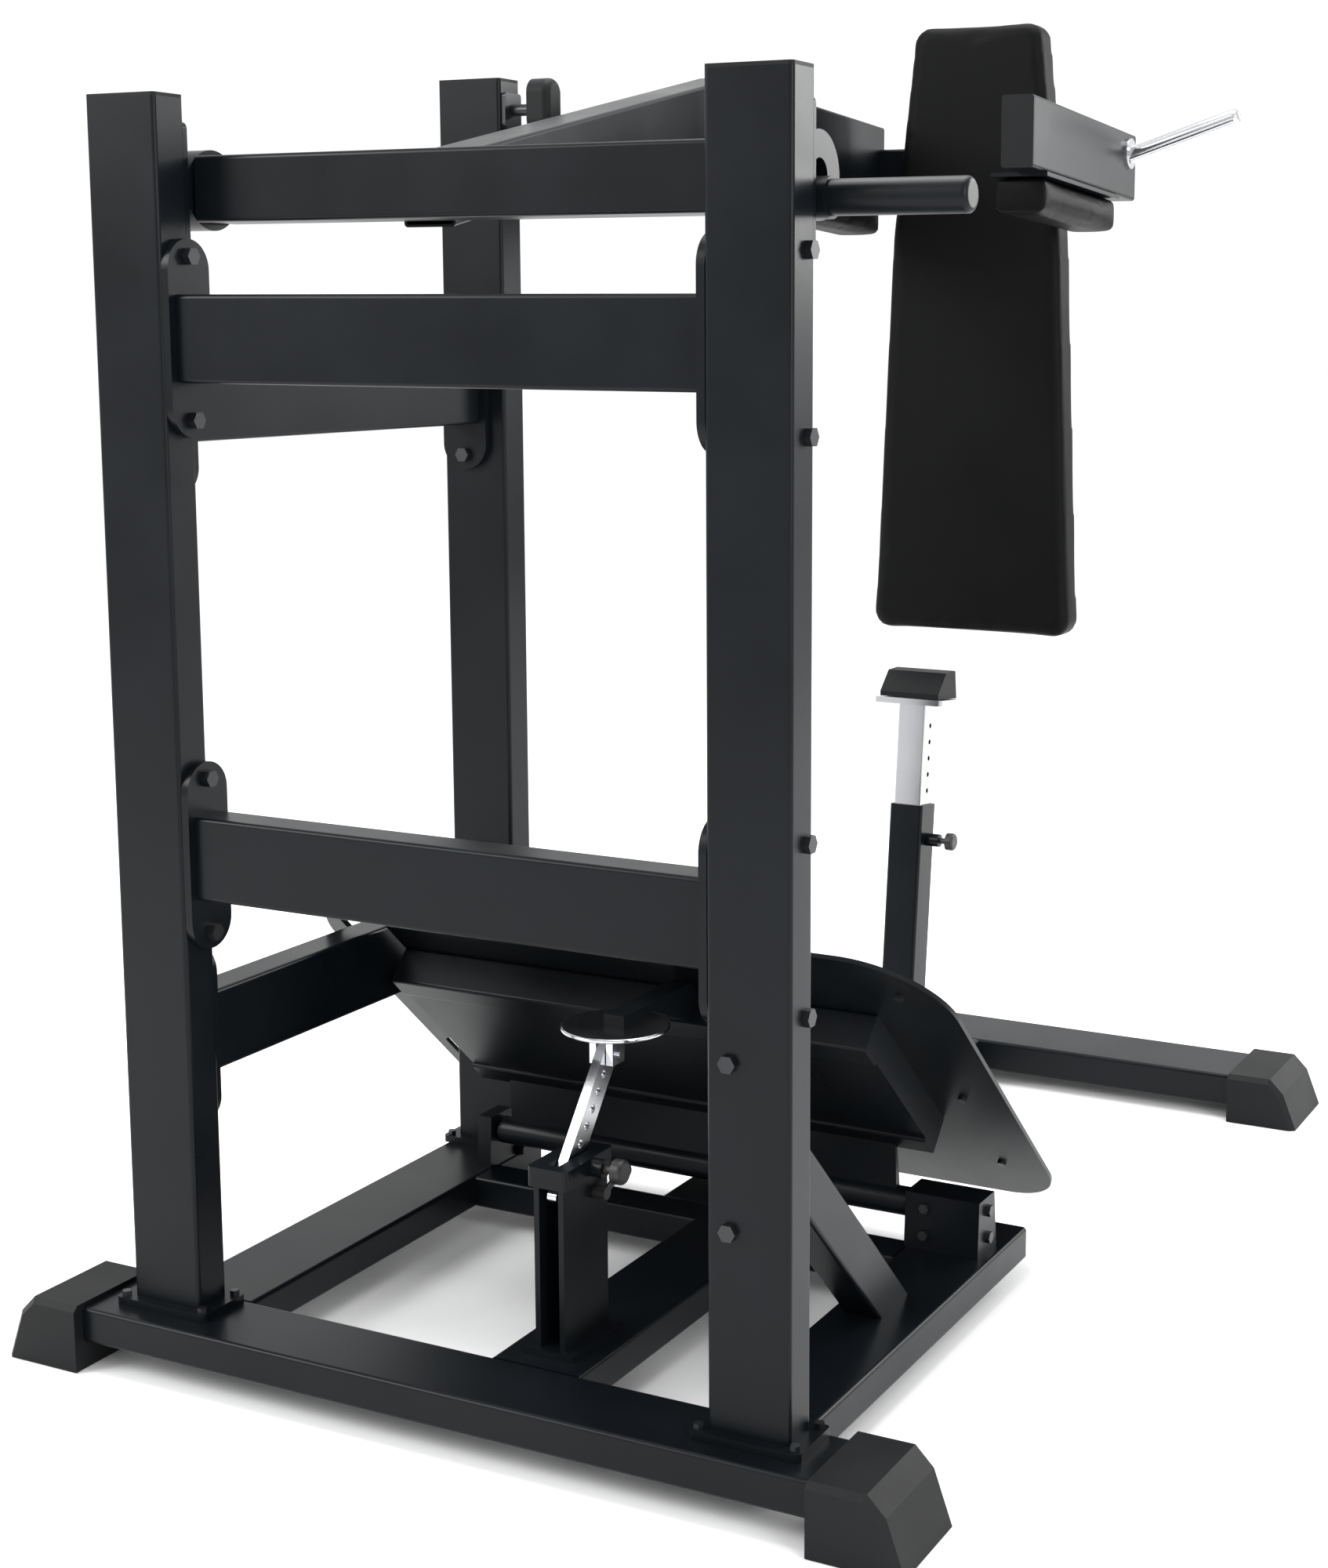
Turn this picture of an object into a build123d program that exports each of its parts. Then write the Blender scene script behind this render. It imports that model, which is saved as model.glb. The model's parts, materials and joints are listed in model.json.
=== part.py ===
"""Pendulum hack squat machine: floor frame, three-post tower, swing arm with back pad and
shoulder pads, tilting foot plate with its adjuster, and an adjustable stop post.

Frame: X to the machine's right, +Y from the tower towards the back pad, +Z up.
The origin is on the floor at the middle of the machine's footprint.
"""
import os
from math import atan2, cos, degrees, radians, sin, tan

from build123d import *

os.makedirs("parts", exist_ok=True)

# ---- Driving dimensions, millimetres ----
WALL = 3.0
BEAM_W = 120.0
BEAM_Z0 = 34.0
BEAM_Z1 = 78.0
FRONT_Y0 = -835.0
FRONT_Y1 = -727.0
FRONT_HALF = 560.0
SIDE_X = 382.0
SIDE_END = -72.0
CROSS_Y0 = -243.0
CROSS_Y1 = -183.0
ADJUST_X = 88.0
REAR_Y0 = 700.0
REAR_Y1 = 834.0
REAR_Z1 = 72.0
CAP_X0 = 496.0
CAP_X1 = 608.0

POST_X = 400.0
POST_W = 100.0
POST_D = 50.0
POST_Y0 = -792.0
POST_Y1 = POST_Y0 + POST_D
POST_FOOT = 10.0
POST_TOP = 1520.0
REAR_POST_X = -380.0
REAR_POST_Y0 = -126.0
REAR_POST_TOP = 1594.0

BAR_H = 100.0
BAR_D = 50.0
BAR_Y = -755.0
UPPER_BAR_Z = 1250.0
LOWER_BAR_Z = 644.0
PLATE_T = 10.0
PLATE_W = 70.0
PLATE_H = 226.0
BOLT_PITCH = 186.0
BOLT_R = 6.0
BOLT_HOLE_R = 6.2
UPPER_SIDE_Z = 1180.0
LOWER_SIDE_Z = 417.0
BRACE_X = 365.0
BRACE_Z = 424.0
BRACE_W = 50.0
BRACE_H = 62.0
BRACE_FOOT_Y = -385.0

PIVOT_Y = -690.0
PIVOT_Z = 1420.0
SHAFT_R = 17.5
RUNNING_GAP = 0.05
PIVOT_TUBE = 75.0
PIVOT_HALF = 350.0
HOUSING_R = 46.0
HORN_R = 18.5
HORN_Y = -712.0
HORN_Z = 1396.0
HORN_END = CAP_X1
HORN_SEAT = 455.0
HORN_COLLAR_R = 21.5

ARM_W = 70.0
ARM_H = 80.0
ARM_X = -78.0
PEAK_Y = 300.0
PEAK_X = -222.0
PEAK_Z = 1592.0
PEAK_DROP = 8.0
YOKE_X = 223.5
YOKE_W = 50.0
YOKE_H = 104.0
LEFT_RISE = 26.0
YOKE_Z0 = 1547.0
YOKE_FRONT = 392.0
YOKE_REAR = 846.0
YOKE_DROP = 27.0 / 456.0
SHOULDER_X = 206.0
SHOULDER_W = 84.0
SHOULDER_Y0 = 446.0
SHOULDER_Y1 = 764.0
SHOULDER_T = 52.0

PAD_Y = 768.0
PAD_T = 60.0
PAD_BOTTOM = 748.0
PAD_TOP = 1757.0
PAD_HALF_BOTTOM = 186.0
PAD_HALF_MIDDLE = 157.0
PAD_HALF_TOP = 116.0
BOARD_T = 4.0
SPINE_W = 60.0
SPINE_D = 18.0
REST_Z = 800.0
SPINE_Y0 = PAD_Y + PAD_T + BOARD_T

TILT = 42.8
PLATE_ORIGIN = (0.0, -357.0, 445.0)
FOOT_HALF = 460.0
FOOT_TOP = -125.0
FOOT_BOTTOM = 522.0
FOOT_T = 6.0
MAT_T = 5.0
RAIL_W = 40.0
RAIL_DEPTH = 52.0
FRAME_HALF = 350.0
FRAME_TOP = 8.0
FRAME_BOTTOM = 300.0
BAR_WINDOW = (-390.0, 40.0, 74.0, 200.0)
POST_WINDOW = (-380.0, 349.0, 124.0, 106.0)
HINGE_Y = -175.0
HINGE_Z = 128.0
HINGE_TUBE_R = 19.0
SKIRT_HALF = 300.0
HINGE_PIN_R = 10.0

LINK_Y = -560.0
LINK_Z = 408.0
STAND_OFF = 24.0
DISC_R = 66.0
DISC_T = 5.0
DISC_Y = LINK_Y + 20.0
COLLAR_Y = -650.5
COLLAR_Z = 292.0
LINK_BAR_T = 12.0
LINK_BAR_W = 32.0

STOP_X = -100.0
STOP_Y = 735.0
STOP_LEAN = 6.0
STOP_SLEEVE = 60.0
STOP_POST = 50.0
STOP_SLEEVE_LEN = 382.0
STOP_TOP = 680.0
STOP_PIN_AT = 322.0


def save(builder, name):
    """Label a finished piece and write its file."""
    builder.part.label = name
    export_step(builder.part, f"parts/{name}.step")


def section(width, height, wall=WALL, radius=5.0):
    """Closed tube section, drawn on the current sketch plane."""
    RectangleRounded(width, height, radius)
    RectangleRounded(width - 2 * wall, height - 2 * wall, radius - wall / 2, mode=Mode.SUBTRACT)


def plane_x(x, y=0.0, z=0.0):
    """Plane facing +X whose local axes are Y and Z."""
    return Plane(origin=(x, y, z), x_dir=(0, 1, 0), z_dir=(1, 0, 0))


def plane_y(y, x=0.0, z=0.0):
    """Plane facing +Y whose local axes are X and -Z."""
    return Plane(origin=(x, y, z), x_dir=(1, 0, 0), z_dir=(0, 1, 0))


def tube_x(x0, x1, y, z, depth, height):
    with BuildPart() as tube:
        with BuildSketch(plane_x(x0, y, z)):
            section(depth, height)
        extrude(amount=x1 - x0)
    return tube


def tube_y(y0, y1, x, z, width, height):
    with BuildPart() as tube:
        with BuildSketch(plane_y(y0, x, z)):
            section(width, height)
        extrude(amount=y1 - y0)
    return tube


def tube_z(z0, z1, x, y, width, depth):
    with BuildPart() as tube:
        with BuildSketch(Plane((x, y, z0))):
            section(width, depth)
        extrude(amount=z1 - z0)
    return tube


def bolt(plane, grip):
    """Hex head on the plane, shank of the given grip behind it, nut at the far end."""
    with BuildSketch(plane) as head:
        RegularPolygon(10.5, 6)
    extrude(head.sketch, amount=7)
    with BuildSketch(plane) as shank:
        Circle(BOLT_R)
    extrude(shank.sketch, amount=-(grip + 9))
    with BuildSketch(plane.offset(-grip)) as nut:
        RegularPolygon(10.5, 6)
    extrude(nut.sketch, amount=-9)


# ---- Floor frame ----
BEAM_H = BEAM_Z1 - BEAM_Z0
BEAM_ZC = (BEAM_Z0 + BEAM_Z1) / 2
FRONT_YC = (FRONT_Y0 + FRONT_Y1) / 2
REAR_YC = (REAR_Y0 + REAR_Y1) / 2
REAR_ZC = (REAR_Z1 + BEAM_Z0 - 12) / 2

front_base_beam = tube_x(-FRONT_HALF, FRONT_HALF, FRONT_YC, BEAM_ZC, FRONT_Y1 - FRONT_Y0, BEAM_H)
save(front_base_beam, "front_base_beam")

for side, name in ((-1, "left"), (1, "right")):
    side_base_beam = tube_y(FRONT_Y1, SIDE_END, side * SIDE_X, BEAM_ZC, BEAM_W, BEAM_H)
    save(side_base_beam, f"{name}_base_beam")

inner = SIDE_X - BEAM_W / 2
cross_base_tube = tube_x(-inner, inner, (CROSS_Y0 + CROSS_Y1) / 2, BEAM_ZC, CROSS_Y1 - CROSS_Y0, BEAM_H)
save(cross_base_tube, "cross_base_tube")

adjuster_base_beam = tube_y(FRONT_Y1, CROSS_Y0, ADJUST_X, BEAM_ZC, BEAM_W, BEAM_H)
save(adjuster_base_beam, "adjuster_base_beam")

spine_h = REAR_Z1 - BEAM_Z0
spine_base_beam = tube_y(CROSS_Y1, REAR_Y0, 0, BEAM_Z0 + spine_h / 2, BEAM_W, spine_h)
save(spine_base_beam, "spine_base_beam")

rear_base_beam = tube_x(-FRONT_HALF, FRONT_HALF, REAR_YC, REAR_ZC, REAR_Y1 - REAR_Y0, REAR_Z1 - 22)
save(rear_base_beam, "rear_base_beam")

# Rubber foot caps: a boot over each beam end, flared towards the floor.
def foot_cap(side, y0, y1, z_low, z_top):
    """Boot with a pocket that the beam end fills."""
    yc = (y0 + y1) / 2
    depth = y1 - y0 + 30
    with BuildPart() as cap:
        with BuildSketch(Plane.XZ.offset(-(yc + depth / 2))):
            with BuildLine():
                Polyline(
                    (side * CAP_X0, 0),
                    (side * CAP_X1, 0),
                    (side * (CAP_X1 - 22), z_top - 22),
                    (side * (CAP_X1 - 44), z_top),
                    (side * CAP_X0, z_top),
                    close=True,
                )
            make_face()
        extrude(amount=depth)
        rim = [edge for edge in cap.edges() if abs(abs(edge.center().Y - yc) - depth / 2) < 0.1]
        chamfer([edge for edge in rim if edge.center().Z > 20 and abs(edge.center().X) > CAP_X0 + 1], 7)
        with BuildSketch(plane_x(side * CAP_X0, yc, (z_low + z_top - 6) / 2)):
            RectangleRounded(y1 - y0, z_top - 6 - z_low, 5)
        extrude(amount=side * (FRONT_HALF - CAP_X0), mode=Mode.SUBTRACT)
    return cap.part


front_caps = [foot_cap(side, FRONT_Y0, FRONT_Y1, BEAM_Z0, BEAM_Z1 + 6) for side in (-1, 1)]
with BuildPart() as front_feet:
    add(front_caps)
save(front_feet, "front_feet")

rear_caps = [foot_cap(side, REAR_Y0, REAR_Y1, 22.0, REAR_Z1 + 6) for side in (-1, 1)]
with BuildPart() as rear_feet:
    add(rear_caps)
save(rear_feet, "rear_feet")

# ---- Tower ----
post_y = (POST_Y0 + POST_Y1) / 2
rear_post_y = REAR_POST_Y0 + POST_D / 2
post_z0 = BEAM_Z1 + POST_FOOT
bar_bolts = [z + s * BOLT_PITCH / 2 for z in (UPPER_BAR_Z, LOWER_BAR_Z) for s in (-1, 1)]
side_bolts = [z + s * BOLT_PITCH / 2 for z in (UPPER_SIDE_Z, LOWER_SIDE_Z) for s in (-1, 1)]
brace_bolts = [BRACE_Z - 16 + s * BOLT_PITCH / 2 for s in (-1, 1)]

with BuildPart() as left_front_post:
    with BuildSketch(Plane((-POST_X, post_y, post_z0))):
        section(POST_W, POST_D)
    extrude(amount=POST_TOP - post_z0)
    with BuildSketch(plane_x(-POST_X - POST_W)):
        with Locations([(BAR_Y, z) for z in bar_bolts]):
            Circle(BOLT_HOLE_R)
    extrude(amount=2 * POST_W, mode=Mode.SUBTRACT)
    with BuildSketch(plane_y(post_y, -390)):
        with Locations([(0, -z) for z in side_bolts]):
            Circle(BOLT_HOLE_R)
    extrude(amount=POST_D, mode=Mode.SUBTRACT)
save(left_front_post, "left_front_post")

with BuildPart() as right_front_post:
    with BuildSketch(Plane((POST_X, post_y, post_z0))):
        section(POST_W, POST_D)
    extrude(amount=POST_TOP - post_z0)
    with BuildSketch(plane_x(POST_X - POST_W)):
        with Locations([(BAR_Y, z) for z in bar_bolts]):
            Circle(BOLT_HOLE_R)
    extrude(amount=2 * POST_W, mode=Mode.SUBTRACT)
    with BuildSketch(plane_y(POST_Y0 - 1, BRACE_X + 12)):
        with Locations([(0, -z) for z in brace_bolts]):
            Circle(BOLT_HOLE_R)
    extrude(amount=POST_D + 2, mode=Mode.SUBTRACT)
save(right_front_post, "right_front_post")

with BuildPart() as left_rear_post:
    with BuildSketch(Plane((REAR_POST_X, rear_post_y, post_z0))):
        section(POST_W, POST_D)
    extrude(amount=REAR_POST_TOP - post_z0)
    with BuildSketch(plane_y(REAR_POST_Y0 - 1, -390)):
        with Locations([(0, -z) for z in side_bolts]):
            Circle(BOLT_HOLE_R)
    extrude(amount=POST_D + 2, mode=Mode.SUBTRACT)
save(left_rear_post, "left_rear_post")

post_tops = [
    (-POST_X, post_y, POST_TOP),
    (POST_X, post_y, POST_TOP),
    (REAR_POST_X, rear_post_y, REAR_POST_TOP),
]
with BuildPart() as post_caps:
    for top in post_tops:
        with BuildSketch(Plane(top)):
            RectangleRounded(POST_W, POST_D, 5)
        extrude(amount=4)
save(post_caps, "post_caps")

post_feet = [(-POST_X, post_y), (POST_X, post_y), (REAR_POST_X, rear_post_y)]
with BuildPart() as post_base_plates:
    for foot_x, foot_y in post_feet:
        with BuildSketch(Plane((foot_x, foot_y, BEAM_Z1))):
            RectangleRounded(POST_W + 36, POST_D + 28, 6)
        extrude(amount=POST_FOOT)
save(post_base_plates, "post_base_plates")

with BuildPart() as base_plate_bolts:
    for foot_x, foot_y in post_feet:
        with BuildSketch(Plane((foot_x, foot_y, BEAM_Z1 + POST_FOOT))):
            with GridLocations(POST_W + 17, POST_D + 10, 2, 2):
                RegularPolygon(6, 6)
        extrude(amount=6)
save(base_plate_bolts, "base_plate_bolts")


def end_plate(plane):
    """Round-ended flange plate, long in Z, with its two bolt holes."""
    with BuildSketch(plane) as flange:
        SlotOverall(PLATE_H, PLATE_W, rotation=90)
        with Locations((0, BOLT_PITCH / 2), (0, -BOLT_PITCH / 2)):
            Circle(BOLT_HOLE_R, mode=Mode.SUBTRACT)
    extrude(flange.sketch, amount=PLATE_T)


face_x = POST_X - POST_W / 2
for bar_z, name in ((UPPER_BAR_Z, "upper_cross_bar"), (LOWER_BAR_Z, "lower_cross_bar")):
    with BuildPart() as cross_bar:
        with BuildSketch(plane_x(-face_x + PLATE_T, BAR_Y, bar_z)):
            section(BAR_D, BAR_H)
        extrude(amount=2 * (face_x - PLATE_T))
        end_plate(plane_x(-face_x, BAR_Y, bar_z))
        end_plate(plane_x(face_x - PLATE_T, BAR_Y, bar_z))
    save(cross_bar, name)

for bar_z, name in ((UPPER_SIDE_Z, "upper_side_bar"), (LOWER_SIDE_Z, "lower_side_bar")):
    with BuildPart() as side_bar:
        with BuildSketch(plane_y(POST_Y1 + PLATE_T, -390, bar_z)):
            section(BAR_D, BAR_H)
        extrude(amount=REAR_POST_Y0 - POST_Y1 - 2 * PLATE_T)
        end_plate(plane_y(POST_Y1, -390, bar_z))
        end_plate(plane_y(REAR_POST_Y0 - PLATE_T, -390, bar_z))
    save(side_bar, name)

# Diagonal brace from the right post down to the right base beam, cut flush at both ends.
brace_y0 = POST_Y1 + PLATE_T
brace_run = BRACE_FOOT_Y - brace_y0
brace_fall = BRACE_Z - BEAM_Z1
brace_len = (brace_run**2 + brace_fall**2) ** 0.5
brace_axis = (0, brace_run / brace_len, -brace_fall / brace_len)
with BuildPart() as diagonal_brace:
    brace_start = (BRACE_X, brace_y0 - 60 * brace_axis[1], BRACE_Z - 60 * brace_axis[2])
    with BuildSketch(Plane(origin=brace_start, x_dir=(1, 0, 0), z_dir=brace_axis)):
        section(BRACE_W, BRACE_H)
    extrude(amount=brace_len + 120)
    split(bisect_by=plane_y(brace_y0), keep=Keep.TOP)
    split(bisect_by=Plane.XY.offset(BEAM_Z1), keep=Keep.TOP)
    end_plate(plane_y(POST_Y1, BRACE_X + 12, BRACE_Z - 16))
save(diagonal_brace, "diagonal_brace")

# Through bolts with nuts: cross bars along X, side bars and brace along Y.
grip = POST_W + PLATE_T
with BuildPart() as cross_bar_bolts:
    for bolt_z in bar_bolts:
        bolt(plane_x(POST_X + POST_W / 2, BAR_Y, bolt_z), grip)
        left_head = Plane(origin=(-POST_X - POST_W / 2, BAR_Y, bolt_z), x_dir=(0, 1, 0), z_dir=(-1, 0, 0))
        bolt(left_head, grip)
save(cross_bar_bolts, "cross_bar_bolts")

with BuildPart() as side_bar_bolts:
    for bolt_z in side_bolts:
        with BuildSketch(plane_y(POST_Y1 + PLATE_T, -390, bolt_z)):
            RegularPolygon(10.5, 6)
        extrude(amount=7)
        with BuildSketch(plane_y(POST_Y1 + PLATE_T, -390, bolt_z)):
            Circle(BOLT_R)
        extrude(amount=-22)
        bolt(plane_y(REAR_POST_Y0 + POST_D, -390, bolt_z), POST_D + PLATE_T)
    for bolt_z in brace_bolts:
        brace_head = Plane(origin=(BRACE_X + 12, POST_Y0, bolt_z), x_dir=(1, 0, 0), z_dir=(0, -1, 0))
        bolt(brace_head, POST_D + PLATE_T)
save(side_bar_bolts, "side_bar_bolts")

# ---- Main pivot ----
for side, name in ((-1, "left_bearing"), (1, "right_bearing")):
    with BuildPart() as bearing:
        with BuildSketch(plane_y(POST_Y1, side * POST_X, PIVOT_Z)):
            RectangleRounded(POST_W - 6, 150, 8)
        extrude(amount=8)
        with BuildSketch(plane_x(side * (PIVOT_HALF + 5), PIVOT_Y, PIVOT_Z)):
            Circle(HOUSING_R)
        extrude(amount=side * (430 - PIVOT_HALF - 5))
        with BuildSketch(plane_x(side * (PIVOT_HALF + 5), PIVOT_Y, PIVOT_Z)):
            Circle(SHAFT_R + RUNNING_GAP)
        extrude(amount=side * 80, mode=Mode.SUBTRACT)
    save(bearing, name)

with BuildPart() as pivot_shaft:
    with BuildSketch(plane_x(-412, PIVOT_Y, PIVOT_Z)):
        Circle(SHAFT_R)
    extrude(amount=824)
save(pivot_shaft, "pivot_shaft")

with BuildPart() as pivot_tube:
    with BuildSketch(plane_x(-PIVOT_HALF, PIVOT_Y, PIVOT_Z)):
        section(PIVOT_TUBE, PIVOT_TUBE)
    extrude(amount=2 * PIVOT_HALF)
    for plug_x in (-PIVOT_HALF, PIVOT_HALF - 10):
        with BuildSketch(plane_x(plug_x, PIVOT_Y, PIVOT_Z)):
            RectangleRounded(PIVOT_TUBE - 4, PIVOT_TUBE - 4, 4)
            Circle(SHAFT_R, mode=Mode.SUBTRACT)
        extrude(amount=10)
save(pivot_tube, "pivot_tube")

with BuildPart() as storage_horn:
    with BuildSketch(plane_x(430, HORN_Y, HORN_Z)):
        Circle(HORN_R)
    extrude(amount=HORN_END - 430)
    fillet(storage_horn.faces().sort_by(Axis.X)[-1].edges(), 6)
    with BuildSketch(plane_x(430, HORN_Y, HORN_Z)):
        Circle(HORN_COLLAR_R)
    extrude(amount=HORN_SEAT - 430)
save(storage_horn, "storage_horn")

# ---- Swing arm ----
arm_y0 = PIVOT_Y + PIVOT_TUBE / 2
arm_run = (PEAK_X - ARM_X, PEAK_Y - arm_y0, PEAK_Z - PIVOT_Z + 4)
arm_reach = (arm_run[0] ** 2 + arm_run[1] ** 2 + arm_run[2] ** 2) ** 0.5
neck_run = (0, YOKE_FRONT - 12 - PEAK_Y, -PEAK_DROP)
neck_reach = (neck_run[1] ** 2 + neck_run[2] ** 2) ** 0.5
with BuildPart() as swing_arm:
    with BuildSketch(plane_y(arm_y0, ARM_X, PIVOT_Z - 4)):
        section(ARM_W, ARM_H)
    extrude(amount=arm_reach, dir=arm_run)
    with BuildSketch(plane_y(PEAK_Y, PEAK_X, PEAK_Z)):
        section(ARM_W, ARM_H)
    extrude(amount=neck_reach, dir=neck_run)
save(swing_arm, "swing_arm")

with BuildPart() as arm_joint_plate:
    with BuildSketch(plane_y(YOKE_FRONT - 12, PEAK_X, YOKE_Z0 + LEFT_RISE / 2)):
        RectangleRounded(ARM_W + 10, YOKE_H + LEFT_RISE + 8, 8)
    extrude(amount=12)
save(arm_joint_plate, "arm_joint_plate")


def yoke_z(y):
    """Height of a shoulder tube's centre line."""
    return YOKE_Z0 - (y - YOKE_FRONT) * YOKE_DROP


for side, rise, name in ((-1, LEFT_RISE, "left_shoulder_tube"), (1, 0.0, "right_shoulder_tube")):
    tube_run = (0, YOKE_REAR - YOKE_FRONT, yoke_z(YOKE_REAR) - YOKE_Z0)
    with BuildPart() as shoulder_tube:
        with BuildSketch(plane_y(YOKE_FRONT, side * YOKE_X, YOKE_Z0 + rise / 2)):
            section(YOKE_W, YOKE_H + rise)
        extrude(amount=(tube_run[1] ** 2 + tube_run[2] ** 2) ** 0.5, dir=tube_run)
    save(shoulder_tube, name)

with BuildPart() as shoulder_tube_caps:
    with BuildSketch(plane_y(YOKE_FRONT - 4, YOKE_X, yoke_z(YOKE_FRONT))):
        RectangleRounded(YOKE_W, YOKE_H, 5)
    extrude(amount=4)
    for side, rise in ((-1, LEFT_RISE), (1, 0.0)):
        with BuildSketch(plane_y(YOKE_REAR, side * YOKE_X, yoke_z(YOKE_REAR) + rise / 2)):
            RectangleRounded(YOKE_W, YOKE_H + rise, 5)
        extrude(amount=4)
save(shoulder_tube_caps, "shoulder_tube_caps")

yoke_bottom = yoke_z(SHOULDER_Y0) - YOKE_H / 2
pad_run = (0, SHOULDER_Y1 - SHOULDER_Y0, -(SHOULDER_Y1 - SHOULDER_Y0) * YOKE_DROP)
pad_reach = (pad_run[1] ** 2 + pad_run[2] ** 2) ** 0.5
with BuildPart() as shoulder_plates:
    for side in (-1, 1):
        with BuildSketch(plane_y(SHOULDER_Y0 - 4, side * SHOULDER_X, yoke_bottom - 2.8)):
            Rectangle(SHOULDER_W + 6, 6)
        extrude(amount=pad_reach + 8, dir=pad_run)
save(shoulder_plates, "shoulder_plates")

for side, name in ((-1, "left"), (1, "right")):
    with BuildPart() as shoulder_pad:
        with BuildSketch(plane_y(SHOULDER_Y0, side * SHOULDER_X, yoke_bottom - 6.2 - SHOULDER_T / 2)):
            RectangleRounded(SHOULDER_W, SHOULDER_T, 12)
        extrude(amount=pad_reach, dir=pad_run)
    save(shoulder_pad, f"{name}_shoulder_pad")

# Back frame: flat cross tube between the shoulder tubes, spine down behind the pad, rest plate.
cross_z = yoke_z(YOKE_REAR - SPINE_D / 2)
cross_half = YOKE_X - YOKE_W / 2
spine_y = SPINE_Y0 + SPINE_D / 2
with BuildPart() as back_frame:
    with BuildSketch(plane_x(-cross_half, spine_y, cross_z)):
        section(SPINE_D, 80)
    extrude(amount=2 * cross_half)
    with BuildSketch(Plane((0, spine_y, REST_Z))):
        section(SPINE_W, SPINE_D)
    extrude(amount=cross_z - 40 - REST_Z)
    with BuildSketch(Plane((-66, spine_y, REST_Z - 44))):
        RectangleRounded(190, SPINE_D, 5)
    extrude(amount=44)
save(back_frame, "back_frame")


def pad_outline(inset):
    """Tapered pad outline in X and Z, drawn on a plane whose second axis is -Z."""
    waist = PAD_BOTTOM + 0.66 * (PAD_TOP - PAD_BOTTOM)
    Polygon(
        (-PAD_HALF_BOTTOM + inset, -PAD_BOTTOM - inset),
        (PAD_HALF_BOTTOM - inset, -PAD_BOTTOM - inset),
        (PAD_HALF_MIDDLE - inset, -waist),
        (PAD_HALF_TOP - inset, -PAD_TOP + inset),
        (-PAD_HALF_TOP + inset, -PAD_TOP + inset),
        (-PAD_HALF_MIDDLE + inset, -waist),
        align=None,
    )


with BuildPart() as back_pad:
    with BuildSketch(plane_y(PAD_Y)) as pad_face:
        pad_outline(0.0)
        fillet(pad_face.vertices().group_by(Axis.Y)[-1], 30)
        fillet(pad_face.vertices().group_by(Axis.Y)[0], 30)
    extrude(amount=PAD_T)
    fillet(back_pad.faces().sort_by(Axis.Y)[0].edges(), 10)
save(back_pad, "back_pad")

with BuildPart() as back_board:
    with BuildSketch(plane_y(PAD_Y + PAD_T)):
        pad_outline(22.0)
    extrude(amount=BOARD_T)
save(back_board, "back_board")

# Chrome handles, rising outwards from the rear of each shoulder tube.
handle_y = 816.0
handle_rise = 18.0
for side, name in ((-1, "left_handle"), (1, "right_handle")):
    handle_root = (side * (YOKE_X + YOKE_W / 2), handle_y, yoke_z(handle_y) + 16)
    handle_dir = (side * cos(radians(handle_rise)), 0, sin(radians(handle_rise)))
    bar_root = (handle_root[0] + side * 3, handle_root[1], handle_root[2])
    with BuildPart() as handle:
        with BuildSketch(plane_x(handle_root[0], handle_root[1], handle_root[2] + 3)):
            Circle(24)
        extrude(amount=side * 5)
        with BuildSketch(Plane(origin=bar_root, x_dir=(0, 1, 0), z_dir=handle_dir)):
            Circle(12.5)
        extrude(amount=188)
        fillet(handle.edges().filter_by(GeomType.CIRCLE).sort_by(Axis.Z)[-1], 10)
        split(bisect_by=plane_x(handle_root[0]), keep=Keep.TOP if side > 0 else Keep.BOTTOM)
    save(handle, name)

# Rubber limit buffer beside the rear post's top.
with BuildPart() as limit_bracket:
    with BuildSketch(plane_x(REAR_POST_X + POST_W / 2, rear_post_y, 1556)):
        RectangleRounded(40, 46, 5)
    extrude(amount=6)
    with BuildSketch(plane_x(REAR_POST_X + POST_W / 2 + 6, rear_post_y, 1556)):
        Circle(8)
    extrude(amount=34)
save(limit_bracket, "limit_bracket")

with BuildPart() as limit_buffer:
    with BuildSketch(plane_x(REAR_POST_X + POST_W / 2 + 40, rear_post_y, 1560)):
        SlotOverall(74, 40, rotation=90)
    extrude(amount=34)
    fillet(limit_buffer.faces().sort_by(Axis.X)[-1].edges(), 10)
save(limit_buffer, "limit_buffer")

# ---- Foot plate: local X is across, local Y runs down the slope, local Z is its upper face ----
slope = Plane(
    origin=PLATE_ORIGIN,
    x_dir=(1, 0, 0),
    z_dir=(0, sin(radians(TILT)), cos(radians(TILT))),
)


def foot_outline(inset):
    """Foot plate outline with large upper corners and smaller lower ones."""
    height = FOOT_BOTTOM - FOOT_TOP
    with Locations((0, (FOOT_TOP + FOOT_BOTTOM) / 2)):
        Rectangle(2 * (FOOT_HALF - inset), height - 2 * inset)


def clearance_windows(grow):
    """Openings that let the lower side bar and the left rear post through the plate."""
    for across, along, width, length in (BAR_WINDOW, POST_WINDOW):
        with Locations((across, along)):
            RectangleRounded(width + grow, length + grow, 12, mode=Mode.SUBTRACT)


with BuildPart() as foot_plate:
    with BuildSketch(slope) as plate_face:
        foot_outline(0.0)
        fillet(plate_face.vertices().group_by(Axis.Y)[0], 125)
        fillet(plate_face.vertices().group_by(Axis.Y)[-1], 80)
        clearance_windows(0.0)
    extrude(amount=-FOOT_T)
save(foot_plate, "foot_plate")

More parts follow.
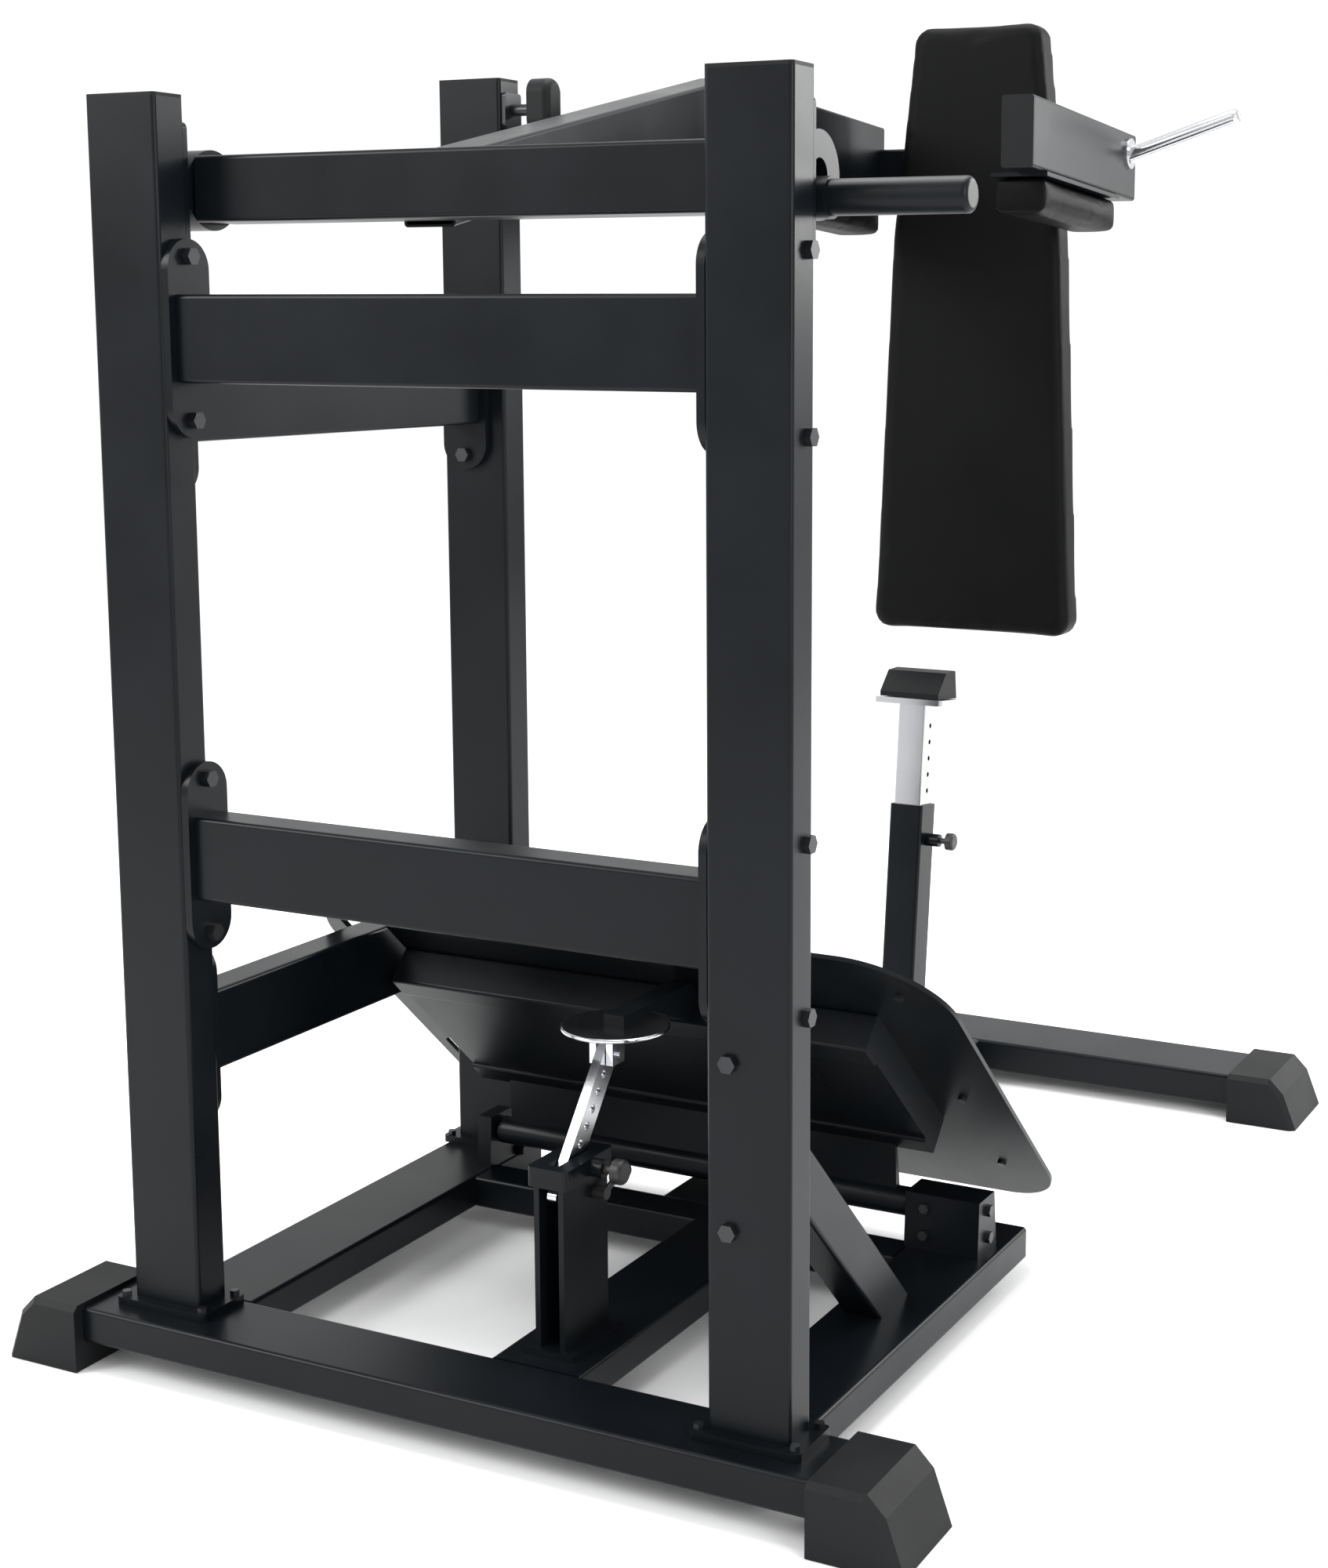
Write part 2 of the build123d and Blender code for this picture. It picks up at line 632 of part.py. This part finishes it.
with BuildPart() as foot_mat:
    with BuildSketch(slope) as mat_face:
        foot_outline(14.0)
        fillet(mat_face.vertices().group_by(Axis.Y)[0], 111)
        fillet(mat_face.vertices().group_by(Axis.Y)[-1], 66)
        clearance_windows(12.0)
    extrude(amount=MAT_T)
save(foot_mat, "foot_mat")

screw_spots = [(-380, -84), (-398, 226), (-398, 440), (398, -50), (398, 226), (398, 420)]
with BuildPart() as mat_screws:
    with BuildSketch(slope.offset(-FOOT_T)):
        with Locations(screw_spots):
            Circle(6)
    extrude(amount=-4)
save(mat_screws, "mat_screws")

# Welded frame under the plate: four rails, hinge tube with its arms, bracket for the adjuster.
rail_len = FRAME_BOTTOM - FRAME_TOP - 2 * RAIL_W
rail_mid = (FRAME_TOP + FRAME_BOTTOM) / 2
hinge_half = 318.0
frame_under = slope.offset(-FOOT_T - RAIL_DEPTH)
arm_top = frame_under.from_local_coords(Vector(0, FRAME_BOTTOM - 12, 0))
arm_low = frame_under.from_local_coords(Vector(0, FRAME_BOTTOM - 4, 0))
disc_top = LINK_Z + STAND_OFF + DISC_T
bracket_top = slope.from_local_coords(Vector(0, FRAME_TOP + 3, -16))
bracket_low = slope.from_local_coords(Vector(0, FRAME_TOP + 3, -52))
with BuildPart() as foot_frame:
    with BuildSketch(slope.offset(-FOOT_T)):
        with Locations((0, FRAME_TOP + RAIL_W / 2), (0, FRAME_BOTTOM - RAIL_W / 2)):
            Rectangle(2 * FRAME_HALF, RAIL_W)
    extrude(amount=-RAIL_DEPTH)
    fillet(foot_frame.edges().filter_by(Axis.X), 4)
    with BuildSketch(slope.offset(-FOOT_T)):
        with Locations([(x * (FRAME_HALF - RAIL_W / 2), rail_mid) for x in (-1, 0, 1)]):
            Rectangle(RAIL_W, rail_len)
    extrude(amount=-RAIL_DEPTH + 8)
    with BuildSketch(slope.offset(-FOOT_T - RAIL_DEPTH + 8)):
        with Locations((0, rail_mid)):
            Rectangle(2 * FRAME_HALF, rail_len)
    extrude(amount=-3)
    with BuildSketch(plane_x(-SKIRT_HALF)):
        Polygon(
            (arm_top.Y, arm_top.Z),
            (arm_low.Y, arm_low.Z),
            (HINGE_Y + 6, HINGE_Z + 12),
            (HINGE_Y - 6, HINGE_Z + 12),
            align=None,
        )
    extrude(amount=2 * SKIRT_HALF)
    with BuildSketch(plane_x(-hinge_half, HINGE_Y, HINGE_Z)):
        Circle(HINGE_TUBE_R)
    extrude(amount=2 * hinge_half)
    with BuildSketch(plane_x(-hinge_half, HINGE_Y, HINGE_Z)):
        Circle(HINGE_PIN_R)
    extrude(amount=2 * hinge_half, mode=Mode.SUBTRACT)
    with BuildSketch(plane_x(ADJUST_X - 14)):
        Polygon(
            (DISC_Y - 4, disc_top),
            (DISC_Y + DISC_R + 2, disc_top),
            (bracket_low.Y, bracket_low.Z),
            (bracket_top.Y, bracket_top.Z),
            (bracket_top.Y - 16, disc_top + 12),
            (DISC_Y - 4, disc_top + 12),
            align=None,
        )
    extrude(amount=28)
save(foot_frame, "foot_frame")

with BuildPart() as hinge_pins:
    for side in (-1, 1):
        with BuildSketch(plane_x(side * (hinge_half - 60), HINGE_Y, HINGE_Z)):
            Circle(HINGE_PIN_R)
        extrude(amount=side * (60 + 24))
save(hinge_pins, "hinge_pins")

for side, name in ((-1, "left_hinge_bracket"), (1, "right_hinge_bracket")):
    width = 104.0 if side > 0 else 22.0
    with BuildPart() as hinge_bracket:
        with BuildSketch(plane_x(side * 322)):
            with BuildLine():
                Polyline(
                    (HINGE_Y - 30, BEAM_Z1),
                    (HINGE_Y + 34, BEAM_Z1),
                    (HINGE_Y + 26, HINGE_Z + 24),
                    (HINGE_Y - 26, HINGE_Z + 24),
                    close=True,
                )
            make_face()
        extrude(amount=side * width)
        with BuildSketch(plane_x(side * 322, HINGE_Y, HINGE_Z)):
            Circle(HINGE_PIN_R + RUNNING_GAP)
        extrude(amount=side * 21, mode=Mode.SUBTRACT)
    save(hinge_bracket, name)

face_lean = 4.0 / (HINGE_Z + 24 - BEAM_Z1)
with BuildPart() as hinge_bolts:
    for bolt_z in (98, 134):
        with BuildSketch(plane_x(426, HINGE_Y + 2, bolt_z)):
            RegularPolygon(8, 6)
        extrude(amount=6)
        bolt_seat = (350, HINGE_Y - 30 + (bolt_z - BEAM_Z1) * face_lean, bolt_z)
        with BuildSketch(Plane(origin=bolt_seat, x_dir=(1, 0, 0), z_dir=(0, -1, face_lean))):
            RegularPolygon(7, 6)
        extrude(amount=6)
save(hinge_bolts, "hinge_bolts")

# ---- Tilt adjuster: disc and clevis under the frame, perforated bar, slotted post ----
link_pin_r = 5.0
disc_under = LINK_Z + STAND_OFF
with BuildPart() as adjuster_disc:
    with BuildSketch(Plane((ADJUST_X, DISC_Y, disc_under))):
        Circle(DISC_R)
    extrude(amount=DISC_T)
    fillet(adjuster_disc.edges().filter_by(GeomType.CIRCLE), 2)
    with BuildSketch(Plane((ADJUST_X, LINK_Y, disc_under))):
        with Locations((-11.5, 0), (11.5, 0)):
            Rectangle(9, 28)
    extrude(amount=-STAND_OFF - 12)
    with BuildSketch(plane_x(ADJUST_X - 20, LINK_Y, LINK_Z)):
        Circle(link_pin_r)
    extrude(amount=40)
save(adjuster_disc, "adjuster_disc")

bar_lean = atan2(COLLAR_Y - LINK_Y, LINK_Z - COLLAR_Z)
bar_dir = (0, sin(bar_lean), -cos(bar_lean))
bar_plane = Plane(origin=(ADJUST_X - LINK_BAR_T / 2, LINK_Y, LINK_Z), x_dir=bar_dir, z_dir=(1, 0, 0))
bar_len = 204.0
hole_spots = [(28 + 22 * n, 0) for n in range(7)]
with BuildPart() as adjuster_bar:
    with BuildSketch(bar_plane):
        with Locations((bar_len / 2 - 12, 0)):
            RectangleRounded(bar_len, LINK_BAR_W, 8)
        SlotOverall(2 * link_pin_r + 1.0, 2 * (link_pin_r + RUNNING_GAP), rotation=90, mode=Mode.SUBTRACT)
        with Locations(hole_spots):
            Circle(5.5, mode=Mode.SUBTRACT)
    extrude(amount=LINK_BAR_T)
save(adjuster_bar, "adjuster_bar")

post_half = 20.0
adjust_y0 = -694.0
adjust_y1 = -596.0
adjust_mid = (adjust_y0 + adjust_y1) / 2
with BuildPart() as adjuster_post:
    with BuildSketch(Plane((ADJUST_X, adjust_mid, BEAM_Z1))):
        Rectangle(2 * post_half + 30, adjust_y1 - adjust_y0 + 16)
    extrude(amount=8)
    with BuildSketch(Plane((ADJUST_X, adjust_mid, BEAM_Z1 + 8))):
        Rectangle(2 * post_half, adjust_y1 - adjust_y0)
        with Locations((0, -6)):
            Rectangle(2 * post_half - 14, adjust_y1 - adjust_y0, mode=Mode.SUBTRACT)
    extrude(amount=COLLAR_Z - 10 - BEAM_Z1 - 8)
save(adjuster_post, "adjuster_post")

with BuildPart() as adjuster_collar:
    with BuildSketch(Plane((ADJUST_X, adjust_mid, COLLAR_Z - 10))):
        RectangleRounded(2 * post_half + 14, adjust_y1 - adjust_y0 + 8, 6)
        with Locations((0, COLLAR_Y - adjust_mid)):
            Rectangle(LINK_BAR_T + 3, LINK_BAR_W + 36, mode=Mode.SUBTRACT)
    extrude(amount=24)
    with BuildSketch(plane_x(ADJUST_X + post_half + 7, COLLAR_Y + 12, COLLAR_Z + 2)):
        Circle(11)
    extrude(amount=16)
    with BuildSketch(plane_x(ADJUST_X + 9, COLLAR_Y + 12, COLLAR_Z + 2)):
        Circle(5 + RUNNING_GAP)
    extrude(amount=60, mode=Mode.SUBTRACT)
save(adjuster_collar, "adjuster_collar")


def pull_pin(nose, seat, y, z):
    """Spring pin along X with a waisted shank and a round knob, seated on its sleeve."""
    with BuildPart() as pin:
        with BuildSketch(plane_x(nose, y, z)):
            Circle(5)
        extrude(amount=seat + 14 - nose)
        with BuildSketch(plane_x(seat + 14, y, z)):
            Circle(15)
        extrude(amount=14)
        fillet(pin.faces().sort_by(Axis.X)[-1].edges(), 5)
    return pin


adjuster_pin = pull_pin(ADJUST_X + 10, ADJUST_X + post_half + 23, COLLAR_Y + 12, COLLAR_Z + 2)
save(adjuster_pin, "adjuster_pin")

lever_y = adjust_y1 - 26
lever_z = COLLAR_Z - 34
lever_root = Vector(ADJUST_X + post_half + 12, lever_y, lever_z)
lever_dir = Vector(0, 1, 0.35).normalized()
with BuildPart() as clamp_lever:
    with BuildSketch(plane_x(ADJUST_X + post_half, lever_y, lever_z)):
        Circle(8)
    extrude(amount=16)
    with BuildSketch(Plane(origin=lever_root, x_dir=(1, 0, 0), z_dir=lever_dir)):
        Circle(4)
    extrude(amount=40)
    with Locations(lever_root + 44 * lever_dir):
        Sphere(11)
save(clamp_lever, "clamp_lever")

# ---- Adjustable stop post, leaning back over the rear beam ----
lean = radians(STOP_LEAN)
stop_axis = (0, sin(lean), cos(lean))
stop_foot = Vector(STOP_X, STOP_Y, REAR_Z1)


def stop_plane(distance):
    """Plane square to the stop post, a distance up its axis."""
    return Plane(
        origin=(STOP_X, STOP_Y + distance * sin(lean), REAR_Z1 + distance * cos(lean)),
        x_dir=(1, 0, 0),
        z_dir=stop_axis,
    )


with BuildPart() as stop_sleeve:
    with BuildSketch(stop_plane(-20)):
        RectangleRounded(STOP_SLEEVE, STOP_SLEEVE, 5)
        inner_side = STOP_POST + 2 * RUNNING_GAP + 0.6
        RectangleRounded(inner_side, inner_side, 3, mode=Mode.SUBTRACT)
    extrude(amount=STOP_SLEEVE_LEN + 20)
    split(bisect_by=Plane.XY.offset(REAR_Z1), keep=Keep.TOP)
    with BuildSketch(plane_x(STOP_X + STOP_SLEEVE / 2, stop_plane(STOP_PIN_AT).origin.Y, stop_plane(STOP_PIN_AT).origin.Z)):
        Circle(11)
    extrude(amount=24)
    with BuildSketch(plane_x(STOP_X + 20, stop_plane(STOP_PIN_AT).origin.Y, stop_plane(STOP_PIN_AT).origin.Z)):
        Circle(5 + RUNNING_GAP)
    extrude(amount=60, mode=Mode.SUBTRACT)
save(stop_sleeve, "stop_sleeve")

stop_len = (STOP_TOP - 56 - REAR_Z1) / cos(lean)
with BuildPart() as stop_post:
    with BuildSketch(stop_plane(190)):
        RectangleRounded(STOP_POST, STOP_POST, 3)
        RectangleRounded(STOP_POST - 6, STOP_POST - 6, 2, mode=Mode.SUBTRACT)
    extrude(amount=stop_len - 190)
    hole_plane = Plane(origin=stop_plane(0).origin, x_dir=stop_axis, z_dir=(1, 0, 0))
    with BuildSketch(hole_plane):
        with Locations([(STOP_PIN_AT + 28 * n, 0) for n in range(8)]):
            Circle(4.5)
    extrude(amount=60, mode=Mode.SUBTRACT)
    with BuildSketch(stop_plane(stop_len)):
        RectangleRounded(124, 92, 6)
    extrude(amount=10)
save(stop_post, "stop_post")

# Rubber stop block: a wedge whose face slopes down towards the tower.
head_top = stop_plane(stop_len + 10).origin
with BuildPart() as stop_block:
    with BuildSketch(plane_x(STOP_X - 54)):
        with BuildLine():
            Polyline(
                (head_top.Y - 40, head_top.Z + 5.5),
                (head_top.Y + 40, head_top.Z - 3.0),
                (head_top.Y + 34, STOP_TOP),
                (head_top.Y - 6, STOP_TOP),
                (head_top.Y - 40, head_top.Z + 14),
                close=True,
            )
        make_face()
    extrude(amount=108)
    fillet(stop_block.edges().filter_by(Axis.X).sort_by(Axis.Z)[-2:], 4)
save(stop_block, "stop_block")

pin_spot = stop_plane(STOP_PIN_AT).origin
stop_pin = pull_pin(STOP_X + STOP_POST / 2 + 1, STOP_X + STOP_SLEEVE / 2 + 24, pin_spot.Y, pin_spot.Z)
save(stop_pin, "stop_pin")
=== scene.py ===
"""Hack squat machine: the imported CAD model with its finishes, soft pads, studio and camera.

Lengths are in metres and colours are linear. The cushions are grown from their CAD solids.
"""

import json
import math

import bpy
from mathutils import Matrix, Vector


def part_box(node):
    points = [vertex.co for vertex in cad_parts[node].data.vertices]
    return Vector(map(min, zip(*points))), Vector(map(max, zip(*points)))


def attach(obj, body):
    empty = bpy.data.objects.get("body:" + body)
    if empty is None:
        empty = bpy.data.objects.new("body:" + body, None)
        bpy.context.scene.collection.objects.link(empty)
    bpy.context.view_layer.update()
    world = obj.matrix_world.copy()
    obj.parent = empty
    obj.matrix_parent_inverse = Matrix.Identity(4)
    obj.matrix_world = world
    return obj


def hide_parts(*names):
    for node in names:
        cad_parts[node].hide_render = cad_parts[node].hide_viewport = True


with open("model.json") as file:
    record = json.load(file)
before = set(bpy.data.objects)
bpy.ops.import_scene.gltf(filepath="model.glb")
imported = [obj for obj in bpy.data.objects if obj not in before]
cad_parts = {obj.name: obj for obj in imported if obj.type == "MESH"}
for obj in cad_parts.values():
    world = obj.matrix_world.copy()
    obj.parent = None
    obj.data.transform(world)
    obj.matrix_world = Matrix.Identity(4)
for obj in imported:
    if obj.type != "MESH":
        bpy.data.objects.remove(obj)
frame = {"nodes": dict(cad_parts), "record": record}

# ---- Finish settings shared by every material ----
BROAD_SCALE = 5.0  # slow drift of colour and gloss along a tube
BROAD_DETAIL = 5.0
FINE_DETAIL = 3.0
NOISE_LOW = 0.3  # the part of the noise's range that is used
NOISE_HIGH = 0.7

# ---- Softened edges on the metalwork, by material slot ----
EDGE_WIDTHS = {
    "frame": 0.0022,
    "rubber": 0.002,
    "steel": 0.0008,
    "knob": 0.0008,
    "chrome": 0.0008,
}
EDGE_SEGMENTS = 2
EDGE_ANGLE = math.radians(35)

# ---- Cushions ----
CLOTH_FRAMES = 20
SMOOTH_FACTOR = 0.5
SMOOTH_PASSES = 3

# ---- Studio ----
FLOOR_REACH = 90
FLOOR_DROP = 0.001  # below the feet, so that the two faces don't share a plane
FLOOR_DARK = (0.955, 0.957, 0.96)
FLOOR_LIGHT = (0.97, 0.972, 0.975)
WORLD_STRENGTH = 1.05

# ---- Camera, fitted to the machine's straight edges ----
CAMERA_PLACE = (1.5153, -2.9194, 1.2716)
CAMERA_YAW = 0.453842
CAMERA_PITCH = 0.155684
CAMERA_ROLL = 0.003876
CAMERA_SENSOR = 36
CAMERA_LENS = 64.482
CAMERA_SHIFT = (-0.1145, -0.0666)

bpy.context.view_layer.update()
nodes = frame["nodes"]
slots = {part["node"]: part["material_slot"] for part in frame["record"]["subparts"]}
scene = bpy.context.scene


def link(name, data):
    """A new object in the scene, from a mesh, a light or a camera."""
    obj = bpy.data.objects.new(name, data)
    scene.collection.objects.link(obj)
    return obj


# ---- Materials ----
def new_material(name):
    """A material with its node tree and its shader."""
    mat = bpy.data.materials.new(name)
    mat.use_nodes = True
    tree = mat.node_tree
    return mat, tree, tree.nodes["Principled BSDF"]


def add_noise(tree, scale, detail=4.0, rough=0.55):
    """Noise in the object's own coordinates."""
    coords = tree.nodes.new("ShaderNodeTexCoord")
    tex = tree.nodes.new("ShaderNodeTexNoise")
    tex.inputs["Scale"].default_value = scale
    tex.inputs["Detail"].default_value = detail
    tex.inputs["Roughness"].default_value = rough
    tree.links.new(coords.outputs["Object"], tex.inputs["Vector"])
    return tex


def add_map(tree, source, low, high):
    """A value that runs from low to high with the source."""
    node = tree.nodes.new("ShaderNodeMapRange")
    node.inputs["From Min"].default_value = NOISE_LOW
    node.inputs["From Max"].default_value = NOISE_HIGH
    node.inputs["To Min"].default_value = low
    node.inputs["To Max"].default_value = high
    tree.links.new(source, node.inputs["Value"])
    return node.outputs["Result"]


def add_color(tree, source, dark, light):
    """A colour that runs from dark to light with the source."""
    ramp = tree.nodes.new("ShaderNodeValToRGB")
    ends = zip(ramp.color_ramp.elements, (NOISE_LOW, NOISE_HIGH), (dark, light))
    for element, position, color in ends:
        element.position = position
        element.color = (*color, 1)
    tree.links.new(source, ramp.inputs["Fac"])
    return ramp.outputs["Color"]


def add_bump(tree, shader, height, strength, distance):
    """Fine relief on the surface."""
    bump = tree.nodes.new("ShaderNodeBump")
    bump.inputs["Strength"].default_value = strength
    bump.inputs["Distance"].default_value = distance
    tree.links.new(height, bump.inputs["Height"])
    tree.links.new(bump.outputs["Normal"], shader.inputs["Normal"])


def surface(name, dark, light, rough, grain, bump, distance, metallic=0.0, specular=0.5):
    """A finish with a slow drift in colour and roughness and a fine grain in its relief."""
    mat, tree, shader = new_material(name)
    broad = add_noise(tree, BROAD_SCALE, BROAD_DETAIL).outputs["Fac"]
    fine = add_noise(tree, grain, FINE_DETAIL).outputs["Fac"]
    tree.links.new(add_color(tree, broad, dark, light), shader.inputs["Base Color"])
    tree.links.new(add_map(tree, broad, *rough), shader.inputs["Roughness"])
    shader.inputs["Metallic"].default_value = metallic
    shader.inputs["Specular IOR Level"].default_value = specular
    add_bump(tree, shader, fine, bump, distance)
    return mat


materials = {
    "frame": surface(
        "powder_coat",
        dark=(0.0022, 0.0034, 0.0046),
        light=(0.0042, 0.0058, 0.0076),
        rough=(0.26, 0.36),
        grain=900,
        bump=0.1,
        distance=0.0004,
        specular=0.16,
    ),
    "rubber": surface(
        "rubber",
        dark=(0.0045, 0.005, 0.0056),
        light=(0.007, 0.0076, 0.0084),
        rough=(0.45, 0.58),
        grain=700,
        bump=0.2,
        distance=0.0005,
        specular=0.18,
    ),
    "upholstery": surface(
        "vinyl",
        dark=(0.0014, 0.0015, 0.0018),
        light=(0.0026, 0.0028, 0.0032),
        rough=(0.44, 0.54),
        grain=620,
        bump=0.14,
        distance=0.0005,
        specular=0.09,
    ),
    "chrome": surface(
        "chrome",
        dark=(0.5, 0.51, 0.53),
        light=(0.66, 0.67, 0.69),
        rough=(0.1, 0.2),
        grain=300,
        bump=0.02,
        distance=0.0002,
        metallic=1.0,
    ),
    "knob": surface(
        "knob_plastic",
        dark=(0.010, 0.010, 0.011),
        light=(0.016, 0.016, 0.017),
        rough=(0.4, 0.5),
        grain=500,
        bump=0.1,
        distance=0.0003,
    ),
    "steel": surface(
        "dark_steel",
        dark=(0.035, 0.037, 0.04),
        light=(0.055, 0.057, 0.06),
        rough=(0.3, 0.42),
        grain=400,
        bump=0.08,
        distance=0.0003,
        metallic=0.9,
    ),
}


def finish_node(obj, slot):
    """Give a CAD node its slot's material and, on metal and rubber, a softened edge."""
    mat = materials[slot]
    if obj.data.materials:
        for index in range(len(obj.data.materials)):
            obj.data.materials[index] = mat
    else:
        obj.data.materials.append(mat)
    if slot in EDGE_WIDTHS:
        bevel = obj.modifiers.new("edge", "BEVEL")
        bevel.width = EDGE_WIDTHS[slot]
        bevel.segments = EDGE_SEGMENTS
        bevel.limit_method = "ANGLE"
        bevel.angle_limit = EDGE_ANGLE


for node, obj in nodes.items():
    finish_node(obj, slots[node])


# ---- Soft pads ----
def apply_modifiers(obj):
    """Replace the mesh with what its modifiers make of it."""
    evaluated = obj.evaluated_get(bpy.context.evaluated_depsgraph_get())
    mesh = bpy.data.meshes.new_from_object(evaluated)
    obj.modifiers.clear()
    obj.data = mesh


def draw_in(obj, low, high, shrink):
    """Pull the shape in on each axis, to leave room for the pressure to fill."""
    centre = (low + high) / 2
    half = (high - low) / 2
    for vertex in obj.data.vertices:
        offset = vertex.co - centre
        for axis in range(3):
            offset[axis] *= (half[axis] - shrink[axis]) / half[axis]
        vertex.co = centre + offset


def remesh(obj, voxel):
    """Rebuild the mesh in even faces, which the cloth needs."""
    modifier = obj.modifiers.new("remesh", "REMESH")
    modifier.mode = "VOXEL"
    modifier.voxel_size = voxel
    apply_modifiers(obj)


def blow_up(obj, pressure, cap):
    """Run the cloth under pressure, moving no point by more than cap."""
    start = [vertex.co.copy() for vertex in obj.data.vertices]
    cloth = obj.modifiers.new("cloth", "CLOTH")
    cloth.settings.use_pressure = True
    cloth.settings.uniform_pressure_force = pressure
    cloth.settings.effector_weights.gravity = 0
    cloth.point_cache.frame_start = 1
    cloth.point_cache.frame_end = CLOTH_FRAMES
    for frame_number in range(1, CLOTH_FRAMES + 1):
        scene.frame_set(frame_number)
    apply_modifiers(obj)
    scene.frame_set(1)
    for vertex, origin in zip(obj.data.vertices, start):
        move = vertex.co - origin
        if move.length > cap:
            move = move.normalized() * cap
        vertex.co = origin + move


def keep_inside(obj, low, high):
    """Hold every point inside the CAD node's own box."""
    for vertex in obj.data.vertices:
        for axis in range(3):
            vertex.co[axis] = min(max(vertex.co[axis], low[axis]), high[axis])


def smooth(obj):
    """Even out the mesh, and shade it without facets."""
    modifier = obj.modifiers.new("smooth", "SMOOTH")
    modifier.factor = SMOOTH_FACTOR
    modifier.iterations = SMOOTH_PASSES
    apply_modifiers(obj)
    for polygon in obj.data.polygons:
        polygon.use_smooth = True


def inflate(node, name, voxel, shrink, cap, pressure):
    """A stuffed cushion grown from the shape of its CAD node, which it stands for."""
    low, high = (Vector(corner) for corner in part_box(node))
    obj = link(name, nodes[node].data.copy())
    draw_in(obj, low, high, shrink)
    remesh(obj, voxel)
    blow_up(obj, pressure, cap)
    keep_inside(obj, low, high)
    smooth(obj)
    obj.data.materials.clear()
    obj.data.materials.append(materials["upholstery"])
    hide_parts(node)
    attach(obj, "swing_carriage")


inflate(
    "back_pad",
    "back_cushion",
    voxel=0.006,
    shrink=(0.003, 0.004, 0.003),
    cap=0.007,
    pressure=4.0,
)
for side in ("left", "right"):
    inflate(
        f"{side}_shoulder_pad",
        f"{side}_shoulder_cushion",
        voxel=0.004,
        shrink=(0.002, 0.002, 0.002),
        cap=0.003,
        pressure=2.0,
    )


# ---- Stage ----
def add_floor():
    """A pale floor that runs out of sight on every side."""
    mat, tree, shader = new_material("pale_floor")
    drift = add_noise(tree, 3.0).outputs["Fac"]
    color = add_color(tree, drift, FLOOR_DARK, FLOOR_LIGHT)
    tree.links.new(color, shader.inputs["Base Color"])
    shader.inputs["Roughness"].default_value = 0.9
    shader.inputs["Specular IOR Level"].default_value = 0.1
    mesh = bpy.data.meshes.new("floor")
    corners = [(-1, -1), (1, -1), (1, 1), (-1, 1)]
    vertices = [(x * FLOOR_REACH, y * FLOOR_REACH, -FLOOR_DROP) for x, y in corners]
    mesh.from_pydata(vertices, [], [(0, 1, 2, 3)])
    mesh.materials.append(mat)
    link("floor", mesh)


def add_world():
    """An even white surround."""
    world = bpy.data.worlds.new("studio")
    scene.world = world
    world.use_nodes = True
    background = world.node_tree.nodes["Background"]
    background.inputs["Color"].default_value = (1.0, 1.0, 1.0, 1)
    background.inputs["Strength"].default_value = WORLD_STRENGTH


def softbox(name, place, aim, size, power):
    """A rectangular light at a place, facing a point on the machine's middle line."""
    data = bpy.data.lights.new(name, "AREA")
    data.shape = "RECTANGLE"
    data.size, data.size_y = size
    data.energy = power
    obj = link(name, data)
    obj.location = place
    facing = Vector(aim) - Vector(place)
    obj.rotation_euler = facing.to_track_quat("-Z", "Y").to_euler()


add_floor()
add_world()
softbox("key", (-3.2, -3.6, 3.4), (0, 0, 0.8), (2.2, 2.2), 150)
softbox("fill", (4.0, -2.4, 2.2), (0, 0, 0.8), (1.6, 2.6), 70)
softbox("top", (0, 0.4, 4.6), (0, 0, 0.4), (3.0, 3.0), 170)
softbox("rim", (2.6, 3.8, 2.6), (0, 0, 0.9), (1.4, 2.4), 110)


# ---- Camera ----
def camera_turn(yaw, pitch, roll):
    """The camera's rotation: yaw about the vertical, pitch downwards, roll about its view."""
    ahead = Vector(
        (-math.sin(yaw) * math.cos(pitch), math.cos(yaw) * math.cos(pitch), -math.sin(pitch))
    )
    level_right = Vector((math.cos(yaw), math.sin(yaw), 0))
    level_up = level_right.cross(ahead)
    right = level_right * math.cos(roll) + level_up * math.sin(roll)
    up = level_up * math.cos(roll) - level_right * math.sin(roll)
    rows = [[right[i], up[i], -ahead[i]] for i in range(3)]
    return Matrix(rows).to_4x4()


camera_data = bpy.data.cameras.new("camera")
camera_data.sensor_width = CAMERA_SENSOR
camera_data.sensor_fit = "HORIZONTAL"
camera_data.lens = CAMERA_LENS
camera_data.shift_x, camera_data.shift_y = CAMERA_SHIFT
camera = link("camera", camera_data)
turn = camera_turn(CAMERA_YAW, CAMERA_PITCH, CAMERA_ROLL)
camera.matrix_world = Matrix.Translation(CAMERA_PLACE) @ turn
scene.camera = camera
scene.view_settings.view_transform = "Standard"
